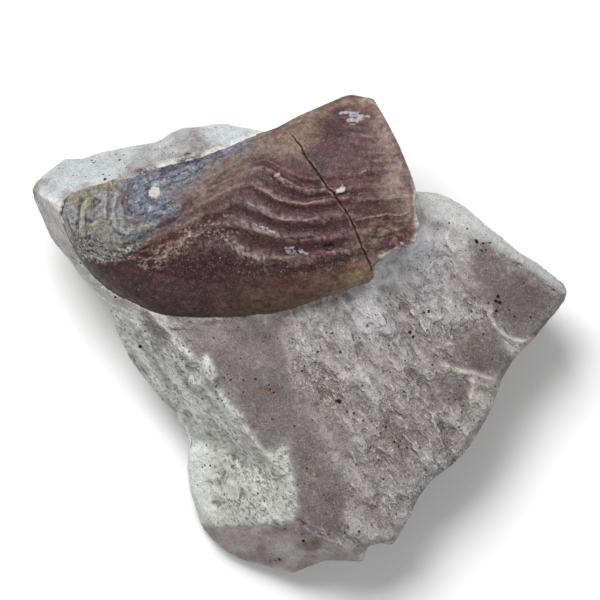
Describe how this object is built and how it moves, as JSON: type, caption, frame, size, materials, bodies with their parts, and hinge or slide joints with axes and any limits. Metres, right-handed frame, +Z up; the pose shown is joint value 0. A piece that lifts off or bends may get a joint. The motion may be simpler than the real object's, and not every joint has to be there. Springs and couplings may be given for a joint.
{
  "type": "fossil aptychus",
  "caption": "Ribbed fossil aptychus valve bedded in a broken piece of pale limestone, lying on a flat underside.",
  "frame": {"origin": "middle of the stone's flat underside, at the level it rests on", "axes": "+X along the valve to its broken end, +Y to the valve's straight upper margin, +Z up from the underside through the valve"},
  "size_m": [0.0489, 0.0438, 0.0193],
  "materials": {
    "limestone": "dry, chalky, rough broken limestone with fine dark specks",
    "fossil_calcite": "satin fossil calcite, maroon to olive brown, with paler rib crests"
  },
  "bodies": {
    "root": {"limestone_matrix": "limestone", "aptychus_valve": "fossil_calcite"}
  },
  "joints": []
}
